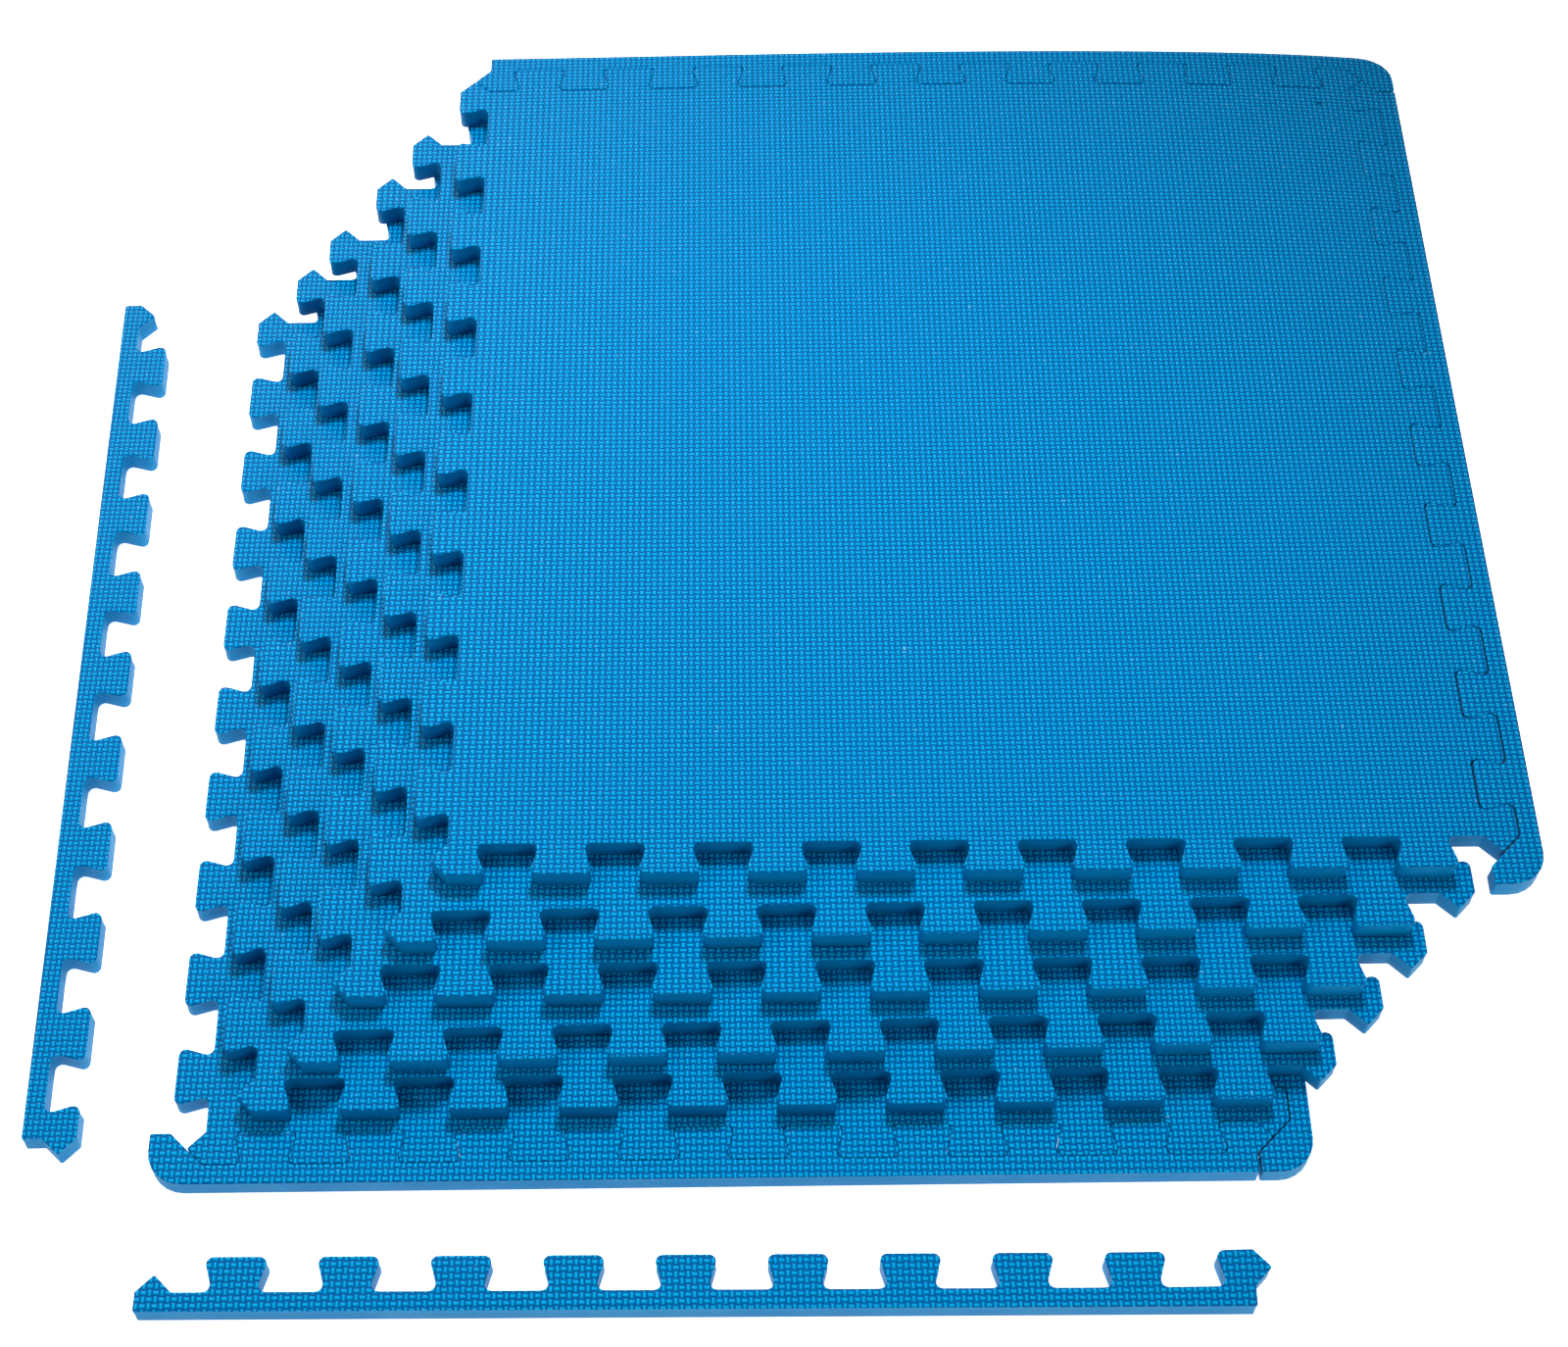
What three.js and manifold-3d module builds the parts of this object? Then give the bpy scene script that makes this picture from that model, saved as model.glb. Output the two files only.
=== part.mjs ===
// Blocking mats: six interlocking foam tiles in a fanned stack, with six edge strips.
// Millimetres, +Z up. The tiles lie flat, the stack stands on z = 0, and the origin is
// under the middle of the whole set. +X runs along the front edge of the top mat and
// +Y runs from its front edge to its back edge.
//
// Every edge of a tile has the same dovetail teeth, turned a quarter turn from side to
// side. "Along" is the distance along an edge, anticlockwise seen from above, and "out"
// is the distance outwards from the line through the tooth roots.
import * as THREE from 'three';
import { mergeVertices } from 'three/addons/utils/BufferGeometryUtils.js';
import Module from 'manifold-3d';

const wasm = await Module();
wasm.setup();

// Tile edge
const TOOTH_PITCH = 61.4;
const TEETH_PER_SIDE = 10;
const ROOT_SIDE = 589.6;
const TOOTH_DEPTH = 20;
const TOOTH_ROOT_WIDTH = 24.6;
const TOOTH_TIP_WIDTH = 36.8;
const TOOTH_CORNER_RADIUS = 4;
const TOOTH_CORNER_STEPS = 1;

// The middle of the half tooth at the start of each side, measured from the root corner
const FIRST_TOOTH = (ROOT_SIDE - (TEETH_PER_SIDE - 0.5) * TOOTH_PITCH) / 2;

// Foam sheet
const FOAM_THICKNESS = 14.2;
const LAYER_GAP = 0.3;

// Edge strips
const STRIP_BODY_WIDTH = 11.3;
const STRIP_OUT = TOOTH_DEPTH + STRIP_BODY_WIDTH;
const STRIP_CORNER_RADIUS = 20;
const STRIP_CORNER_STEPS = 6;
const STRIP_END_SETBACK = 0.8;
const FIT_GAP = 0.3;

// Where each tile lies in the stack, from the lowest to the highest: the place of its
// middle relative to the top tile's middle, and its turn in degrees
const STACK = [
  { x: -136, y: -142, turn: 0.15 },
  { x: -109, y: -116, turn: 0.25 },
  { x: -84, y: -91, turn: 0.75 },
  { x: -55.5, y: -60.5, turn: 0.2 },
  { x: -29, y: -32, turn: 0.6 },
  { x: 0, y: 0, turn: 0 },
];

// The two strips that lie loose on the table, as the middle of the tile side that each
// would fit
const LOOSE_FRONT_STRIP = { x: -145, y: -512, turn: -0.25 };
const LOOSE_LEFT_STRIP = { x: -507, y: -146, turn: 1.0 };

// The bottom right strip stands a little off its tile, so that its joint is slightly open
const OPEN_JOINT = 0.7;

const FOAM_COLOUR = 0x0f74b8;

// The four sides, in the order that they follow each other anticlockwise
const FRONT = 0;
const RIGHT = 1;
const BACK = 2;
const LEFT = 3;

function point(along, out, radius = 0, steps = TOOTH_CORNER_STEPS) {
  return { along, out, radius, steps };
}

// Each corner of the tile is a right-angled point, half a tooth out from both root lines
const POINTED_START = point(-TOOTH_DEPTH / 2, TOOTH_DEPTH / 2);
const POINTED_END = point(ROOT_SIDE + TOOTH_DEPTH / 2, TOOTH_DEPTH / 2);

// The seam of one side, from its pointed start to the root corner at its end: a half
// tooth, nine whole teeth and ten sockets
function seam() {
  const points = [POINTED_START, point(0, TOOTH_DEPTH)];
  for (let tooth = 0; tooth < TEETH_PER_SIDE; tooth++) {
    const middle = FIRST_TOOTH + tooth * TOOTH_PITCH;
    if (tooth > 0) {
      points.push(point(middle - TOOTH_ROOT_WIDTH / 2, 0, TOOTH_CORNER_RADIUS));
      points.push(point(middle - TOOTH_TIP_WIDTH / 2, TOOTH_DEPTH, TOOTH_CORNER_RADIUS));
    }
    points.push(point(middle + TOOTH_TIP_WIDTH / 2, TOOTH_DEPTH, TOOTH_CORNER_RADIUS));
    points.push(point(middle + TOOTH_ROOT_WIDTH / 2, 0, TOOTH_CORNER_RADIUS));
  }
  points.push(point(ROOT_SIDE, 0));
  return points;
}

// The same seam moved outwards by a gap, measured square to each of its edges
function movedOut(points, gap) {
  const edges = points.slice(1).map((end, i) => {
    const start = points[i];
    return new THREE.Vector2(end.along - start.along, end.out - start.out).normalize();
  });
  return points.map((here, i) => {
    const before = edges[Math.max(i - 1, 0)];
    const after = edges[Math.min(i, edges.length - 1)];
    const both = before.clone().add(after);
    const reach = (2 * gap) / both.lengthSq();
    return point(here.along - both.y * reach, here.out + both.x * reach, here.radius);
  });
}

// A point of one side, placed in the tile's own frame with its middle at the origin
function onSide(side, { along, out, radius, steps }) {
  const place = new THREE.Vector2(along - ROOT_SIDE / 2, -ROOT_SIDE / 2 - out);
  place.rotateAround(new THREE.Vector2(), (side * Math.PI) / 2);
  return { place, radius, steps };
}

// The arc that rounds one corner of a closed outline
function cornerArc(corners, i) {
  const { place, radius, steps } = corners[i];
  const back = corners.at(i - 1).place.clone().sub(place).normalize();
  const forward = corners[(i + 1) % corners.length].place.clone().sub(place).normalize();
  const halfAngle = Math.acos(back.dot(forward)) / 2;
  const toCentre = back.clone().add(forward).setLength(radius / Math.sin(halfAngle));
  const tangent = radius / Math.tan(halfAngle);
  const start = back.multiplyScalar(tangent).sub(toCentre);
  const end = forward.multiplyScalar(tangent).sub(toCentre);
  const turn = Math.atan2(start.cross(end), start.dot(end));
  return Array.from({ length: steps + 1 }, (_, step) => {
    const spoke = start.clone().rotateAround(new THREE.Vector2(), (turn * step) / steps);
    return spoke.add(toCentre).add(place);
  });
}

function roundedShape(corners) {
  const outline = corners.flatMap((corner, i) => (corner.radius ? cornerArc(corners, i) : [corner.place]));
  return new THREE.Shape(outline);
}

// A closed geometry with its triangles made again. Extruding leaves triangles of no area
// where many corners stand in one line, and this joins them to their neighbours.
function withoutSlivers(geometry) {
  geometry.deleteAttribute('normal');
  geometry.deleteAttribute('uv');
  const merged = mergeVertices(geometry);
  const solid = new wasm.Manifold(new wasm.Mesh({
    numProp: 3,
    vertProperties: merged.getAttribute('position').array,
    triVerts: new Uint32Array(merged.index.array),
  }));
  const { vertProperties, triVerts } = solid.getMesh();
  const rebuilt = new THREE.BufferGeometry();
  rebuilt.setAttribute('position', new THREE.BufferAttribute(vertProperties, 3));
  rebuilt.setIndex(new THREE.BufferAttribute(triVerts, 1));
  const flat = rebuilt.toNonIndexed();
  flat.computeVertexNormals();
  return flat;
}

function foamSheet(shape) {
  const sheet = new THREE.ExtrudeGeometry(shape, { depth: FOAM_THICKNESS, bevelEnabled: false });
  return withoutSlivers(sheet);
}

function foamPiece(name, geometry) {
  const foam = new THREE.MeshStandardMaterial({ color: FOAM_COLOUR, roughness: 0.85, metalness: 0 });
  const mesh = new THREE.Mesh(geometry, foam);
  mesh.name = name;
  return mesh;
}

function matGeometry() {
  const corners = [FRONT, RIGHT, BACK, LEFT].flatMap((side) => seam().map((p) => onSide(side, p)));
  return foamSheet(roundedShape(corners));
}

// A plain strip starts with a small point that fits between two neighbouring tiles
function plainStart() {
  return [point(-TOOTH_DEPTH, STRIP_OUT), point(-TOOTH_DEPTH, TOOTH_DEPTH)];
}

// A corner strip starts with a rounded corner, which reaches round to the next strip. From
// its end it runs straight on into the slanted edge of the seam.
function cornerStart() {
  const slantStart = -TOOTH_DEPTH + STRIP_END_SETBACK - FIT_GAP * Math.SQRT2;
  return [
    point(-STRIP_OUT, STRIP_OUT, STRIP_CORNER_RADIUS, STRIP_CORNER_STEPS),
    point(-STRIP_OUT, STRIP_END_SETBACK),
    point(slantStart, STRIP_END_SETBACK),
  ];
}

// Every strip ends alike: it fills the last socket, comes to a point where the tile does,
// and stops square to its outer edge
function farEnd() {
  return [point(ROOT_SIDE, TOOTH_DEPTH), point(ROOT_SIDE, STRIP_OUT)];
}

function stripGeometry(side, start) {
  const toothed = movedOut([...seam(), POINTED_END], FIT_GAP);
  const corners = [...start, ...toothed, ...farEnd()].map((p) => onSide(side, p));
  return foamSheet(roundedShape(corners));
}

function lie(mesh, { x, y, turn }, z) {
  mesh.position.set(x, y, z);
  mesh.rotation.z = THREE.MathUtils.degToRad(turn);
  return mesh;
}

const set = new THREE.Group();

STACK.forEach((place, layer) => {
  const height = layer * (FOAM_THICKNESS + LAYER_GAP);
  set.add(lie(foamPiece(`mat_${layer + 1}`, matGeometry()), place, height));
});

const bottom = STACK[0];
const top = STACK[STACK.length - 1];
const topHeight = (STACK.length - 1) * (FOAM_THICKNESS + LAYER_GAP);
const openRight = { x: bottom.x + OPEN_JOINT, y: bottom.y, turn: bottom.turn };

const STRIPS = [
  { name: 'top_back_edge_strip', side: BACK, start: cornerStart(), place: top, height: topHeight },
  { name: 'top_right_edge_strip', side: RIGHT, start: cornerStart(), place: top, height: topHeight },
  { name: 'bottom_front_edge_strip', side: FRONT, start: cornerStart(), place: bottom, height: 0 },
  { name: 'bottom_right_edge_strip', side: RIGHT, start: cornerStart(), place: openRight, height: 0 },
];

STRIPS.forEach(({ name, side, start, place, height }) => {
  set.add(lie(foamPiece(name, stripGeometry(side, start)), place, height));
});

// A loose strip's own frame stands on the middle of its root line
function looseStrip(name, side, place) {
  const geometry = stripGeometry(side, plainStart());
  const rootMiddle = onSide(side, point(ROOT_SIDE / 2, 0));
  geometry.translate(-rootMiddle.place.x, -rootMiddle.place.y, 0);
  return lie(foamPiece(name, geometry), place, 0);
}

set.add(looseStrip('loose_front_edge_strip', FRONT, LOOSE_FRONT_STRIP));
set.add(looseStrip('loose_left_edge_strip', LEFT, LOOSE_LEFT_STRIP));

// The origin goes under the middle of the whole set
const middle = new THREE.Box3().setFromObject(set).getCenter(new THREE.Vector3());
set.position.set(-middle.x, -middle.y, 0);

export default set;
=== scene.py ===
# Blocking mats: the looks of six interlocking foam tiles in a fanned stack, and six edge strips.
#
# Each piece is one sheet of closed-cell foam, embossed on top with a basket weave and cut with
# smooth walls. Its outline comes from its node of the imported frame. Here the outline's corners are
# rounded, the weave is raised, worn pieces are bent a little, and every surface gets its material.
# Metres, +Z up. "u" and "v" count the weave's cells along X and Y.
import math

import bpy
import numpy as np
from mathutils import Matrix, Vector, kdtree
from mathutils.geometry import delaunay_2d_cdt


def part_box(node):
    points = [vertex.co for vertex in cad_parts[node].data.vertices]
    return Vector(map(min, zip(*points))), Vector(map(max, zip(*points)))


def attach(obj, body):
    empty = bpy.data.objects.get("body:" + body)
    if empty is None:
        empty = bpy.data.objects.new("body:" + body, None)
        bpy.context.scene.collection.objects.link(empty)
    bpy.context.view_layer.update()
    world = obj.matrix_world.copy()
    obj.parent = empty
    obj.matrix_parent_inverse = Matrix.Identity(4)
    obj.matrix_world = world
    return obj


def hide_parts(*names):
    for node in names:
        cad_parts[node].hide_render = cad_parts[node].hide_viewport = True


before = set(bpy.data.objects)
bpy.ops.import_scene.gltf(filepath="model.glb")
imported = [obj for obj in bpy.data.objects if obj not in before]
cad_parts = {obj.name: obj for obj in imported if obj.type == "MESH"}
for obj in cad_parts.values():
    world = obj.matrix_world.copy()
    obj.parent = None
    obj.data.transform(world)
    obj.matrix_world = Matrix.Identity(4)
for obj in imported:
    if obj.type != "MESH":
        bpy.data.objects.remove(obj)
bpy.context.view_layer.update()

MM = 0.001

# Outline. A pair of turns that stand closer than CHAMFER_LIMIT is one chamfered tooth corner.
TOOTH_RADIUS = 4 * MM
CHAMFER_LIMIT = 7 * MM
STRAIGHT_TURN = 1e-4
SHARP_TURN = math.radians(30)
POINT_RADIUS = 1.3 * MM
ARC_STEP = math.radians(22)
OUTLINE_STEP = 1.5 * MM
TOP_FACE_TOLERANCE = 0.01 * MM

# Weave, with its lengths as shares of a cell. A bar's ridge reaches BAR_REACH either way from the
# middle of its cell, its sides fall from BAR_CORE to BAR_FOOT, and its ends dip by END_DIP.
RELIEF = 0.55 * MM
BAR_REACH = 0.34
BAR_CORE = 0.08
BAR_FOOT = 0.40
END_DIP = 0.62
NEIGHBOUR_SLOPE = 4

# Points of the weave nearer than this to the outline are left out
NEAR_EDGE = 0.75 * MM

# Mats under the top one are raised only in a margin, and the relief fades over the last of it
MARGIN = 62 * MM
MARGIN_FADE = 8 * MM

# The skin rolls over the top rim, and the cut walls below it are a little hollow. Each wall ring has
# its share of the height down from the top, and how far it is set in.
RIM_INSET = 0.4 * MM
RIM_DROP = 0.12 * MM
WALL_RINGS = [(0.05, 0.0), (0.5, 0.22 * MM), (0.965, 0.0), (1.0, 0.45 * MM)]

# Worn shapes: the top layer's back edge bows backwards, most to the right of its middle, and its right
# corner is drawn forwards; the right strip flares from its mat; the bottom front strip ends on a
# slant; the loose front strip's end is twisted
TOP_LAYER = ("mat_6", "top_back_edge_strip", "top_right_edge_strip")
BACK_BOW = 5.0 * MM
BACK_BOW_SKEW = 1.25
BACK_CORNER_DROP = 5.5 * MM
BACK_CORNER_SHARPNESS = 12
RIGHT_FLARE = 0.95 * MM
STRIP_BODY = 11.3 * MM
END_LENGTH = 9 * MM
END_SLANT = 2.6 * MM
TWIST_LENGTH = 80 * MM
TWIST_LIFT = 4.0 * MM

# A small dent in the top mat, measured from its back right corner
DENT_PLACE = (-41.5 * MM, -34.5 * MM)
DENT_RADIUS = 2.0 * MM
DENT_DEPTH = 1.6 * MM

# The weave's cells on each piece, along X and Y. Sheets were cut either way round and stretch a
# little in the mould.
CELLS = {
    "mat_1": (3.40 * MM, 3.80 * MM),
    "mat_2": (3.30 * MM, 3.75 * MM),
    "mat_3": (3.22 * MM, 3.75 * MM),
    "mat_4": (4.00 * MM, 3.25 * MM),
    "mat_5": (3.45 * MM, 3.75 * MM),
    "mat_6": (3.49 * MM, 3.17 * MM),
    "top_back_edge_strip": (3.65 * MM, 3.03 * MM),
    "top_right_edge_strip": (3.85 * MM, 3.25 * MM),
    "bottom_front_edge_strip": (3.30 * MM, 4.10 * MM),
    "bottom_right_edge_strip": (3.40 * MM, 3.90 * MM),
    "loose_front_edge_strip": (3.40 * MM, 3.80 * MM),
    "loose_left_edge_strip": (3.25 * MM, 3.45 * MM),
}

# The top mat's cells widen towards its left edge, so that the edge has STRETCH_CELLS fewer of them
STRETCHED = "mat_6"
STRETCH_CELLS = 6.9
STRETCH_LENGTH = 133 * MM

# Only the top mat shows its whole face; the others show a margin along their front and left edges
WHOLE_FACE = {"mat_6", *(name for name in CELLS if name.endswith("strip"))}

# How the faces are filled: only inside their outline, joining points that are this close
INSIDE_ONLY = 1
MERGE_DISTANCE = 1e-7

# The material of each kind of face
TOP_FACE, WALL_FACE, UNDER_FACE = 0, 1, 2

# Colours
# Painted highlight: the crests of the bars are paler where light catches them
PAINTED_CREST_HIGHLIGHT_BLUE = (0.0, 0.390, 0.720, 1)
BAR_BLUE = (0.0, 0.225, 0.510, 1)
CLOUD_BLUE = (0.0, 0.160, 0.470, 1)
# Painted shade: the gaps between the bars are darkened where shade falls between them
PAINTED_GAP_SHADE_BLUE = (0.0, 0.074, 0.245, 1)
# Painted shade: the dent's hollow is darkened
PAINTED_DENT_SHADE_BLUE = (0.0, 0.030, 0.110, 1)
WALL_BLUE = (0.0, 0.190, 0.420, 1)
WALL_CLOUD_BLUE = (0.001, 0.140, 0.375, 1)
WALL_CELL_BLUE = (0.0, 0.090, 0.270, 1)
UNDER_BLUE = (0.001, 0.170, 0.450, 1)
UNDER_CLOUD_BLUE = (0.0, 0.130, 0.370, 1)
COOL_GLOSS = (0.18, 0.75, 1.0, 1)
PALE_SCUFF = (0.12, 0.42, 0.66, 1)
WHITE = (1, 1, 1, 1)
BLACK = (0, 0, 0, 1)
SHEET_WHITE = (0.95, 0.95, 0.95, 1)
SHEET_SHADE = (0.93, 0.93, 0.93, 1)

# Surfaces. Roughness runs from gap to crest on the weave, and across the noise elsewhere.
NOISE_BAND = (0.3, 0.7)
WOVEN_ROUGHNESS = (0.50, 0.27)
WALL_ROUGHNESS = (0.5, 0.62)
UNDER_ROUGHNESS = (0.5, 0.68)
WOVEN_SPECULAR = 0.3
CUT_SPECULAR = 0.15
SHEET_SPECULAR = 0.1

# Studio
FLOOR_SIZE = 6.0
FLOOR_GAP = 0.2 * MM
FLOOR_GLOW = 0.8
BACKDROP_RADIUS = 40
BACKDROP_GLOW = 0.97
SKY_STRENGTH = 0.23
KEY_PLACE = (0.14, 0.75, 1.7)
KEY_AIM = (-0.24, -0.2, 0.05)
KEY_CONE = math.radians(70)
KEY_RADIUS = 0.24
KEY_POWER = 170
LEFT_FILL = {"place": (-1.5, -0.3, 1.5), "aim": (-0.3, 0.1, 0.05), "size": (1.0, 1.0), "power": 14}
FRONT_FILL = {"place": (1.0, -1.7, 1.3), "aim": (0.2, -0.3, 0.05), "size": (1.0, 0.8), "power": 13}
BACK_SHEEN = {"place": (-1.1, 1.9, 1.5), "aim": (-0.3, 0.3, 0.05), "size": (1.7, 1.3), "power": 42}

# Camera: where it stands in the frame, and how it is turned
CAMERA_PLACE = (-26.3 * MM, -934.0 * MM, 1423.3 * MM)
PAN_RIGHT = math.radians(0.727)
TILT_DOWN = math.radians(57.41)
ROLL = math.radians(0.15)
LENS_MM = 61.8
SENSOR_MM = 36.0
LENS_SHIFT = (0.0244, 0.0067)


# ---------------------------------------------------------------- outlines


def top_loop(node):
    """The corners of a node's top face, anticlockwise seen from above, and its lowest and highest z."""
    mesh = node.data
    heights = [v.co.z for v in mesh.vertices]
    bottom, top = min(heights), max(heights)
    keys = [(round(v.co.x, 6), round(v.co.y, 6)) for v in mesh.vertices]
    follows = set()
    for face in mesh.polygons:
        corners = list(face.vertices)
        if all(heights[c] > top - TOP_FACE_TOLERANCE for c in corners):
            follows.update((keys[a], keys[b]) for a, b in zip(corners, corners[1:] + corners[:1]))
    after = {a: b for a, b in follows if (b, a) not in follows}
    start = min(after)
    loop = [start]
    while after[loop[-1]] != start:
        loop.append(after[loop[-1]])
    return [Vector(p) for p in loop], bottom, top


def turn_at(points, i):
    before = points[i] - points[i - 1]
    after = points[(i + 1) % len(points)] - points[i]
    return before.angle_signed(after, 0)


def sharp_corners(points):
    """The outline as (corner, radius). Each chamfered tooth corner becomes one sharp corner again,
    with its true radius."""
    points = [p for i, p in enumerate(points) if abs(turn_at(points, i)) > STRAIGHT_TURN]
    count = len(points)
    turns = [abs(turn_at(points, i)) for i in range(count)]
    corners = []
    for i, here in enumerate(points):
        after = points[(i + 1) % count]
        before = points[i - 1]
        if (here - after).length < CHAMFER_LIMIT and min(turns[i], turns[(i + 1) % count]) > SHARP_TURN:
            beyond = points[(i + 2) % count]
            corners.append((meeting_point(before, here, beyond, after), TOOTH_RADIUS))
        elif (here - before).length < CHAMFER_LIMIT and min(turns[i], turns[i - 1]) > SHARP_TURN:
            continue
        else:
            corners.append((here, POINT_RADIUS if turns[i] > SHARP_TURN else 0))
    return corners


def meeting_point(a, b, c, d):
    """Where the line through a and b meets the line through c and d."""
    ab, cd = b - a, d - c
    share = (c - a).cross(cd) / ab.cross(cd)
    return a + ab * share


def corner_arc(before, corner, after, radius):
    back, forward = (before - corner).normalized(), (after - corner).normalized()
    half = back.angle(forward) / 2
    tangent = radius / math.tan(half)
    centre = corner + (back + forward).normalized() * (radius / math.sin(half))
    start = corner + back * tangent - centre
    sweep = start.angle_signed(corner + forward * tangent - centre)
    steps = max(2, math.ceil(abs(sweep) / ARC_STEP))
    return [centre + Matrix.Rotation(-sweep * k / steps, 2) @ start for k in range(steps + 1)]


def fine_outline(node):
    """A closed outline with round corners and short steps, as an array, with the bottom and top z."""
    loop, bottom, top = top_loop(node)
    corners = sharp_corners(loop)
    rounded = []
    for i, (corner, radius) in enumerate(corners):
        before, after = corners[i - 1][0], corners[(i + 1) % len(corners)][0]
        rounded += corner_arc(before, corner, after, radius) if radius else [corner]
    outline = []
    for a, b in zip(rounded, rounded[1:] + rounded[:1]):
        steps = max(1, math.ceil((b - a).length / OUTLINE_STEP))
        outline += [a.lerp(b, k / steps) for k in range(steps)]
    return np.array(outline), bottom, top


def outward(outline):
    """The direction out of the outline at each of its points."""
    along = np.roll(outline, -1, 0) - np.roll(outline, 1, 0)
    along /= np.linalg.norm(along, axis=1)[:, None]
    return np.stack([along[:, 1], -along[:, 0]], 1)


# ---------------------------------------------------------------- weave


class Weave:
    """Turns places on one piece into cells of its weave, and back."""

    def __init__(self, name, outline):
        low, high = outline.min(0), outline.max(0)
        self.low = low
        self.cell = CELLS[name]
        across = np.arange(-2 * self.cell[0], high[0] - low[0] + 2 * self.cell[0], MM)
        cells = across / self.cell[0]
        if name == STRETCHED:
            cells = cells + STRETCH_CELLS * np.exp(-across / STRETCH_LENGTH)
        self.across, self.cells = across, cells

    def to_cells(self, places):
        u = np.interp(places[:, 0] - self.low[0], self.across, self.cells)
        return np.stack([u, (places[:, 1] - self.low[1]) / self.cell[1]], 1)

    def to_places(self, cells):
        x = np.interp(cells[:, 0], self.cells, self.across) + self.low[0]
        return np.stack([x, cells[:, 1] * self.cell[1] + self.low[1]], 1)


def bar_height(cells):
    """How high the weave stands, from 0 in a gap to 1 on top of a bar. Every cell holds one bar, and
    bars lie along X and along Y in turn, each with its ends tucked under its neighbours' sides."""
    whole = np.floor(cells)
    off = np.abs(cells - whole - 0.5)
    lengthways = (whole.sum(1) % 2).astype(int)
    along = np.take_along_axis(off, lengthways[:, None], 1)[:, 0]
    across = np.take_along_axis(off, 1 - lengthways[:, None], 1)[:, 0]
    own = (1 - (2 * across) ** 2) * (1 - END_DIP * (2 * along) ** 4)
    near_side = np.clip(1 - (0.5 - across) * NEIGHBOUR_SLOPE, 0, 1)
    neighbour = (1 - END_DIP) * (1 - (2 * along) ** 2) * near_side
    return np.maximum(own, neighbour)


def lattice(low, high):
    """The points of the weave that make its shape: two on each bar's ridge, each cell's corner, and
    the middle of each side where a bar's end goes under the next bar."""
    i, j = np.meshgrid(np.arange(low[0], high[0] + 1), np.arange(low[1], high[1] + 1), indexing="ij")
    corner = np.stack([i.ravel(), j.ravel()], 1).astype(float)
    reach = np.where((corner.sum(1) % 2 == 0)[:, None], [[BAR_REACH, 0.0]], [[0.0, BAR_REACH]])
    middle = corner + 0.5
    return np.concatenate([middle + reach, middle - reach, corner, corner + [0.5, 0], corner + [0, 0.5]])


def relief_points(name, outline, weave):
    """The lattice over the part of the face that gets its relief as geometry."""
    low, high = outline.min(0), outline.max(0)
    cells_low = np.floor(weave.to_cells(low[None])[0]) - 1
    cells_high = np.ceil(weave.to_cells(high[None])[0]) + 1
    places = weave.to_places(lattice(cells_low, cells_high))
    if name not in WHOLE_FACE:
        places = places[((places - low) < MARGIN).any(1)]
    tree = kdtree.KDTree(len(outline))
    for i, (x, y) in enumerate(outline):
        tree.insert((x, y, 0), i)
    tree.balance()
    clear = [tree.find((x, y, 0))[2] > NEAR_EDGE for x, y in places]
    return places[np.array(clear)]


def raised_share(name, places, outline):
    """1 where the relief is geometry, falling to 0 across the last of the margin."""
    if name in WHOLE_FACE:
        return np.ones(len(places))
    inset = (places - outline.min(0)).min(1)
    return np.clip((MARGIN - inset) / MARGIN_FADE, 0, 1)


# ---------------------------------------------------------------- worn shapes


def eased(share):
    """0 below 0, 1 above 1, and smooth between."""
    share = np.clip(share, 0, 1)
    return share * share * (3 - 2 * share)


def dent_share(name, points):
    """1 in the middle of the dent in the top mat, falling to 0 around it."""
    low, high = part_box(name)
    away = np.hypot(points[:, 0] - high[0] - DENT_PLACE[0], points[:, 1] - high[1] - DENT_PLACE[1])
    on_top = points[:, 2] > (low[2] + high[2]) / 2
    return np.exp(-((away / DENT_RADIUS) ** 2)) * on_top * (name == "mat_6")


def bent(name, points):
    """The piece's points moved by the small bends that its foam has taken."""
    x, y, z = points.T.copy()
    low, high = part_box(name)
    if name in TOP_LAYER:
        mat_low, mat_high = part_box("mat_6")
        across = np.clip((x - mat_low[0]) / (mat_high[0] - mat_low[0]), 0, 1)
        bow = BACK_BOW * np.sin(np.pi * across**BACK_BOW_SKEW)
        bow -= BACK_CORNER_DROP * across**BACK_CORNER_SHARPNESS
        y += bow * eased((y - mat_low[1]) / (mat_high[1] - mat_low[1]) * 2 - 1)
    if name == "top_right_edge_strip":
        x += RIGHT_FLARE * eased((high[1] - y) / (high[1] - low[1])) ** 2
    if name == "bottom_front_edge_strip":
        near_end = eased((x - high[0]) / END_LENGTH + 1)
        outwards = eased((low[1] + STRIP_BODY - y) / STRIP_BODY)
        x -= near_end * outwards * END_SLANT
    if name == "loose_front_edge_strip":
        along = eased((x - high[0]) / TWIST_LENGTH + 1)
        z += along * TWIST_LIFT * (y - low[1]) / (high[1] - low[1])
    z -= DENT_DEPTH * dent_share(name, points)
    return np.column_stack([x, y, z])


# ---------------------------------------------------------------- meshes


def triangles(points, count):
    """The triangles that fill the closed outline made of the first count points, through the rest."""
    vectors = [Vector(p) for p in points]
    boundary = [list(range(count))]
    _, _, faces, origins, _, _ = delaunay_2d_cdt(vectors, [], boundary, INSIDE_ONLY, MERGE_DISTANCE)
    source = np.array([o[0] if o else -1 for o in origins])
    faces = source[np.array(faces)]
    return faces[(faces >= 0).all(1)]


def filled_face(outline, inner):
    """The face inside the outline: its triangles, and its points with the outline's first and the
    unused ones left out."""
    points = np.concatenate([outline, inner])
    faces = triangles(points, len(outline))
    used = np.zeros(len(points), bool)
    used[faces] = True
    used[: len(outline)] = True
    return points[used], (np.cumsum(used) - 1)[faces]


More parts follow.
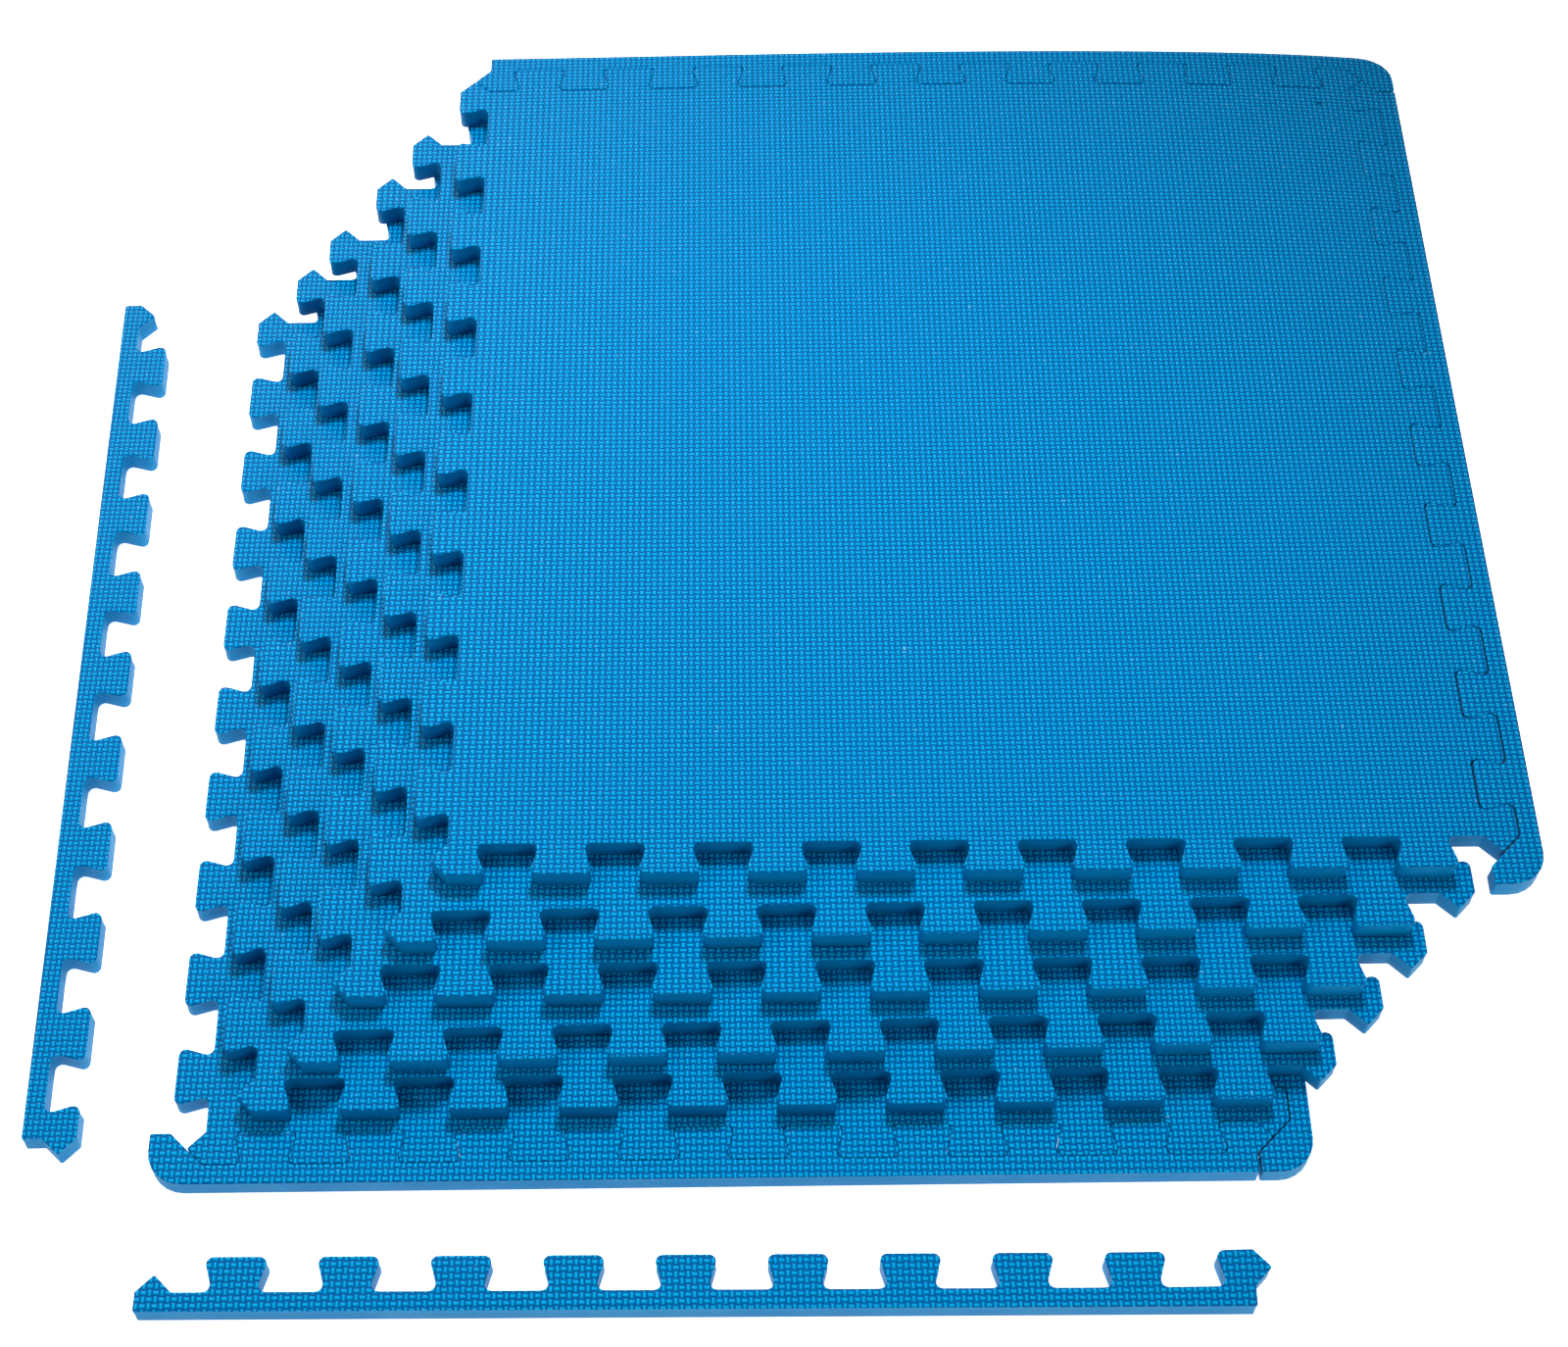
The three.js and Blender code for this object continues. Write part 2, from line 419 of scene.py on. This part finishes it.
def wall_points(outline, out, bottom, top):
    """The rings of points that the wall goes down through, from just under the rim to the bottom."""
    rings = []
    for share, inset in WALL_RINGS:
        z = np.full(len(outline), top - share * (top - bottom))
        rings.append(np.column_stack([outline - out * inset, z]))
    return rings


def wall_quads(rings):
    """The faces between each ring of point numbers and the ring below it, the rim's first."""
    quads = []
    for upper, lower in zip(rings, rings[1:]):
        quads.append(np.stack([upper, lower, np.roll(lower, -1), np.roll(upper, -1)], 1))
    return np.concatenate(quads)


def new_mesh(name, points, face_groups, materials):
    """A mesh of the groups of faces, each group an array with one row of point numbers a face."""
    loops = np.concatenate([group.ravel() for group in face_groups])
    sizes = np.concatenate([np.full(len(group), group.shape[1]) for group in face_groups])
    mesh = bpy.data.meshes.new(name)
    mesh.vertices.add(len(points))
    mesh.vertices.foreach_set("co", points.ravel())
    mesh.loops.add(len(loops))
    mesh.loops.foreach_set("vertex_index", loops)
    mesh.polygons.add(len(sizes))
    mesh.polygons.foreach_set("loop_start", np.cumsum(sizes) - sizes)
    mesh.polygons.foreach_set("material_index", materials)
    mesh.update(calc_edges=True)
    mesh.validate()
    return mesh


def piece_mesh(name, node):
    outline, bottom, top = fine_outline(node)
    weave = Weave(name, outline)
    count = len(outline)
    out = outward(outline)
    face, top_faces = filled_face(outline - out * RIM_INSET, relief_points(name, outline, weave))
    raised = raised_share(name, face, outline)
    dip = RELIEF * (1 - bar_height(weave.to_cells(face))) * raised
    dip[:count] += RIM_DROP

    wall = wall_points(outline, out, bottom, top)
    points = np.concatenate([np.column_stack([face, top - dip]), *wall])
    ring_starts = [0] + [len(face) + count * i for i in range(len(wall))]
    rings = [np.arange(start, start + count) for start in ring_starts]
    quads = wall_quads(rings)
    under = rings[-1][triangles(wall[-1][:, :2], count)][:, ::-1]

    # The rim's own faces carry on the woven skin
    group_sizes = [len(top_faces) + count, len(quads) - count, len(under)]
    materials = np.repeat([TOP_FACE, WALL_FACE, UNDER_FACE], group_sizes)
    cells_and_dent = np.column_stack([weave.to_cells(points[:, :2]), dent_share(name, points)])
    mesh = new_mesh(name, bent(name, points), [top_faces, quads, under], materials)

    attribute = mesh.attributes.new("weave", "FLOAT_VECTOR", "POINT")
    attribute.data.foreach_set("vector", cells_and_dent.ravel())
    attribute = mesh.attributes.new("raised", "FLOAT", "POINT")
    attribute.data.foreach_set("value", np.concatenate([raised, np.ones(len(points) - len(raised))]))
    crisp_rims(mesh, [rings[1], rings[-1]])
    return mesh


def crisp_rims(mesh, rims):
    """Marks the edges of the closed rings as sharp, and shades the rest smooth."""
    off_the_rim = -1
    mesh.shade_smooth()
    ends = np.zeros(len(mesh.edges) * 2, int)
    mesh.edges.foreach_get("vertices", ends)
    ends = ends.reshape(-1, 2)
    sharp = np.zeros(len(ends), bool)
    for rim in rims:
        place = np.full(len(mesh.vertices), off_the_rim)
        place[rim] = np.arange(len(rim))
        step = np.abs(place[ends[:, 0]] - place[ends[:, 1]])
        both = (place[ends] > off_the_rim).all(1)
        sharp |= both & ((step == 1) | (step == len(rim) - 1))
    attribute = mesh.attributes.new("sharp_edge", "BOOLEAN", "EDGE")
    attribute.data.foreach_set("value", sharp)


# ---------------------------------------------------------------- materials


class Nodes:
    """Short calls that add shader nodes to one material."""

    def __init__(self, name):
        self.material = bpy.data.materials.new(name)
        self.material.use_nodes = True
        self.tree = self.material.node_tree
        self.shader = next(n for n in self.tree.nodes if n.type == "BSDF_PRINCIPLED")

    def feed(self, socket, value):
        if isinstance(value, bpy.types.NodeSocket):
            self.tree.links.new(value, socket)
        elif value is not None:
            socket.default_value = value

    def math(self, operation, a, b=None, c=None):
        node = self.tree.nodes.new("ShaderNodeMath")
        node.operation = operation
        for socket, value in zip(node.inputs, (a, b, c)):
            self.feed(socket, value)
        return node.outputs[0]

    def attribute(self, name, output):
        node = self.tree.nodes.new("ShaderNodeAttribute")
        node.attribute_name = name
        return node.outputs[output]

    def noise(self, scale, detail, roughness):
        node = self.tree.nodes.new("ShaderNodeTexNoise")
        self.feed(node.inputs["Vector"], self.tree.nodes.new("ShaderNodeTexCoord").outputs["Object"])
        self.feed(node.inputs["Scale"], scale)
        self.feed(node.inputs["Detail"], detail)
        self.feed(node.inputs["Roughness"], roughness)
        return node.outputs["Fac"]

    def remap(self, value, low, high, to_low, to_high, ease="LINEAR"):
        node = self.tree.nodes.new("ShaderNodeMapRange")
        node.interpolation_type = ease
        for socket, given in zip(node.inputs, (value, low, high, to_low, to_high)):
            self.feed(socket, given)
        return node.outputs[0]

    def mix(self, share, a, b):
        node = self.tree.nodes.new("ShaderNodeMix")
        node.data_type = "RGBA"
        self.feed(node.inputs["Factor"], share)
        self.feed(node.inputs["A"], a)
        self.feed(node.inputs["B"], b)
        return node.outputs["Result"]

    def bump(self, height, distance, strength, normal=None):
        node = self.tree.nodes.new("ShaderNodeBump")
        self.feed(node.inputs["Height"], height)
        node.inputs["Distance"].default_value = distance
        self.feed(node.inputs["Strength"], strength)
        self.feed(node.inputs["Normal"], normal)
        return node.outputs["Normal"]

    def glow(self, strength):
        self.shader.inputs["Emission Color"].default_value = WHITE
        self.shader.inputs["Emission Strength"].default_value = strength

    def finish(self, colour, roughness, normal, specular):
        self.feed(self.shader.inputs["Base Color"], colour)
        self.feed(self.shader.inputs["Roughness"], roughness)
        self.feed(self.shader.inputs["Normal"], normal)
        self.shader.inputs["Specular IOR Level"].default_value = specular
        self.shader.inputs["Specular Tint"].default_value = COOL_GLOSS
        return self.material


def woven_height(nodes):
    """The same bars as bar_height, for the shader: 0 in a gap, 1 on top of a bar. Also the dent's share,
    for its painted shade.
    """
    split = nodes.tree.nodes.new("ShaderNodeSeparateXYZ")
    nodes.feed(split.inputs[0], nodes.attribute("weave", "Vector"))
    u, v, dent = split.outputs
    whole = nodes.math("ADD", nodes.math("FLOOR", u), nodes.math("FLOOR", v))
    odd = nodes.math("FLOORED_MODULO", whole, 2)
    off_u = nodes.math("ABSOLUTE", nodes.math("SUBTRACT", nodes.math("FRACT", u), 0.5))
    off_v = nodes.math("ABSOLUTE", nodes.math("SUBTRACT", nodes.math("FRACT", v), 0.5))
    difference = nodes.math("SUBTRACT", off_v, off_u)
    along = nodes.math("MULTIPLY_ADD", odd, difference, off_u)
    across = nodes.math("SUBTRACT", off_v, nodes.math("MULTIPLY", odd, difference))
    width = nodes.remap(across, BAR_CORE, BAR_FOOT, 1, 0, "SMOOTHSTEP")
    ends = nodes.remap(along, BAR_REACH, 0.5, 1, 1 - END_DIP, "SMOOTHSTEP")
    return nodes.math("MULTIPLY", width, ends), dent


def woven_foam():
    """The embossed skin: painted shade between the bars, a painted highlight on their crests, pebbled
    and a little scuffed.
    """
    nodes = Nodes("woven_foam")
    height, dent = woven_height(nodes)
    cloudy = nodes.noise(scale=5, detail=3, roughness=0.55)
    pebbled = nodes.noise(scale=1400, detail=2, roughness=0.6)
    specks = nodes.noise(scale=260, detail=1, roughness=0.4)

    bar_share = nodes.remap(height, 0, 0.75, 0, 1)
    # Painted highlight on the crests of the bars
    painted_highlight_share = nodes.remap(height, 0.72, 1, 0, 0.6)
    cloud_share = nodes.remap(cloudy, *NOISE_BAND, 0, 0.14)
    scuff_share = nodes.math("MULTIPLY", nodes.remap(specks, 0.76, 0.80, 0, 0.55), bar_share)
    # Painted shade in the dent's hollow
    painted_dent_shade = nodes.math("MULTIPLY", dent, 0.75)
    # Painted shade: darker in the gaps between the bars, the plain colour on the bars
    colour = nodes.mix(bar_share, PAINTED_GAP_SHADE_BLUE, BAR_BLUE)
    colour = nodes.mix(painted_highlight_share, colour, PAINTED_CREST_HIGHLIGHT_BLUE)
    colour = nodes.mix(cloud_share, colour, CLOUD_BLUE)
    colour = nodes.mix(scuff_share, colour, PALE_SCUFF)
    colour = nodes.mix(painted_dent_shade, colour, PAINTED_DENT_SHADE_BLUE)

    # Crests are rubbed glossier than gaps, and the bump is strongest where no relief is raised
    pebbled_height = nodes.math("MULTIPLY_ADD", pebbled, 0.3, height)
    roughness = nodes.remap(pebbled_height, 0.2, 1.2, *WOVEN_ROUGHNESS)
    flat_share = nodes.math("SUBTRACT", 1, nodes.attribute("raised", "Fac"))
    weave_strength = nodes.math("MULTIPLY_ADD", flat_share, 0.3, 0.7)
    normal = nodes.bump(height, 1.5 * RELIEF, weave_strength)
    normal = nodes.bump(pebbled, 0.03 * MM, 0.6, normal)
    return nodes.finish(colour, roughness, normal, WOVEN_SPECULAR)


def cut_foam():
    """The smooth walls that the cutting die leaves, cloudy and with small cells."""
    nodes = Nodes("cut_foam")
    cloudy = nodes.noise(scale=26, detail=3, roughness=0.5)
    cells = nodes.noise(scale=2600, detail=2, roughness=0.6)
    colour = nodes.mix(nodes.remap(cloudy, *NOISE_BAND, 0, 0.35), WALL_BLUE, WALL_CLOUD_BLUE)
    colour = nodes.mix(nodes.remap(cells, 0.62, 0.8, 0, 0.3), colour, WALL_CELL_BLUE)
    roughness = nodes.remap(cloudy, *NOISE_BAND, *WALL_ROUGHNESS)
    normal = nodes.bump(cells, 0.05 * MM, 0.5)
    return nodes.finish(colour, roughness, normal, CUT_SPECULAR)


def under_skin():
    """The plain skin underneath, which the mould leaves with a fine grain."""
    nodes = Nodes("under_skin")
    grain = nodes.noise(scale=900, detail=4, roughness=0.65)
    cloudy = nodes.noise(scale=6, detail=3, roughness=0.5)
    colour = nodes.mix(nodes.remap(cloudy, *NOISE_BAND, 0, 0.25), UNDER_BLUE, UNDER_CLOUD_BLUE)
    roughness = nodes.remap(grain, *NOISE_BAND, *UNDER_ROUGHNESS)
    normal = nodes.bump(grain, 0.08 * MM, 0.7)
    return nodes.finish(colour, roughness, normal, CUT_SPECULAR)


def white_sheet():
    nodes = Nodes("white_sheet")
    mottle = nodes.noise(scale=3, detail=2, roughness=0.5)
    colour = nodes.mix(nodes.remap(mottle, *NOISE_BAND, 0, 1), SHEET_SHADE, SHEET_WHITE)
    nodes.glow(FLOOR_GLOW)
    return nodes.finish(colour, 0.9, None, SHEET_SPECULAR)


def white_backdrop():
    nodes = Nodes("white_backdrop")
    nodes.glow(BACKDROP_GLOW)
    return nodes.finish(BLACK, 1.0, None, 0)


# ---------------------------------------------------------------- the set


def add_piece(name, materials):
    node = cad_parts[name]
    piece = bpy.data.objects.new(f"{name}_foam", piece_mesh(name, node))
    bpy.context.scene.collection.objects.link(piece)
    for material in materials:
        piece.data.materials.append(material)
    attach(piece, name)
    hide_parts(name)


def add_floor():
    """A plain white sheet that the set lies on."""
    bpy.ops.mesh.primitive_plane_add(size=FLOOR_SIZE, location=(0, 0, -FLOOR_GAP))
    floor = bpy.context.object
    floor.name = "floor"
    floor.data.materials.append(white_sheet())


def add_backdrop():
    """A white dome round the whole studio, which only the camera sees: it lights nothing."""
    bpy.ops.mesh.primitive_uv_sphere_add(
        radius=BACKDROP_RADIUS, segments=48, ring_count=24, location=(0, 0, 0)
    )
    dome = bpy.context.object
    dome.name = "backdrop"
    dome.data.materials.append(white_backdrop())
    dome.visible_diffuse = dome.visible_glossy = dome.visible_shadow = False


def add_lamp(light, place, aim):
    lamp = bpy.data.objects.new(light.name, light)
    bpy.context.scene.collection.objects.link(lamp)
    lamp.location = place
    lamp.rotation_euler = (Vector(aim) - Vector(place)).to_track_quat("-Z", "Y").to_euler()
    return lamp


def add_softbox(name, place, aim, size, power):
    light = bpy.data.lights.new(name, "AREA")
    light.shape = "RECTANGLE"
    light.size, light.size_y = size
    light.energy = power
    return add_lamp(light, place, aim)


def add_key():
    """The main light, behind the set: a soft cone aimed at the front left, so that its
    light fades towards the back right corner."""
    light = bpy.data.lights.new("key", "SPOT")
    light.spot_size = KEY_CONE
    light.spot_blend = 1
    light.shadow_soft_size = KEY_RADIUS
    light.energy = KEY_POWER
    return add_lamp(light, KEY_PLACE, KEY_AIM)


def add_sky():
    """An even white sky, kept out of the reflections."""
    world = bpy.data.worlds.new("studio")
    world.use_nodes = True
    sky = world.node_tree.nodes["Background"]
    sky.inputs["Color"].default_value = WHITE
    sky.inputs["Strength"].default_value = SKY_STRENGTH
    bpy.context.scene.world = world
    world.cycles_visibility.glossy = False


def add_lights():
    """Three lamps that light the foam without a reflection, and one that only gives it its sheen."""
    key = add_key()
    left_fill = add_softbox("left_fill", **LEFT_FILL)
    front_fill = add_softbox("front_fill", **FRONT_FILL)
    for lamp in (key, left_fill, front_fill):
        lamp.visible_glossy = False
    sheen = add_softbox("back_left_sheen", **BACK_SHEEN)
    sheen.visible_diffuse = False
    add_sky()


def add_camera():
    data = bpy.data.cameras.new("camera")
    data.lens = LENS_MM
    data.sensor_width = SENSOR_MM
    data.shift_x, data.shift_y = LENS_SHIFT
    camera = bpy.data.objects.new("camera", data)
    bpy.context.scene.collection.objects.link(camera)
    turned = Matrix.Rotation(-PAN_RIGHT, 4, "Z") @ Matrix.Rotation(math.pi / 2 - TILT_DOWN, 4, "X")
    camera.matrix_world = Matrix.Translation(CAMERA_PLACE) @ turned @ Matrix.Rotation(ROLL, 4, "Z")
    bpy.context.scene.camera = camera


add_camera()
foam = [woven_foam(), cut_foam(), under_skin()]
for piece_name in CELLS:
    add_piece(piece_name, foam)
add_floor()
add_backdrop()
add_lights()
bpy.context.scene.view_settings.view_transform = "Standard"
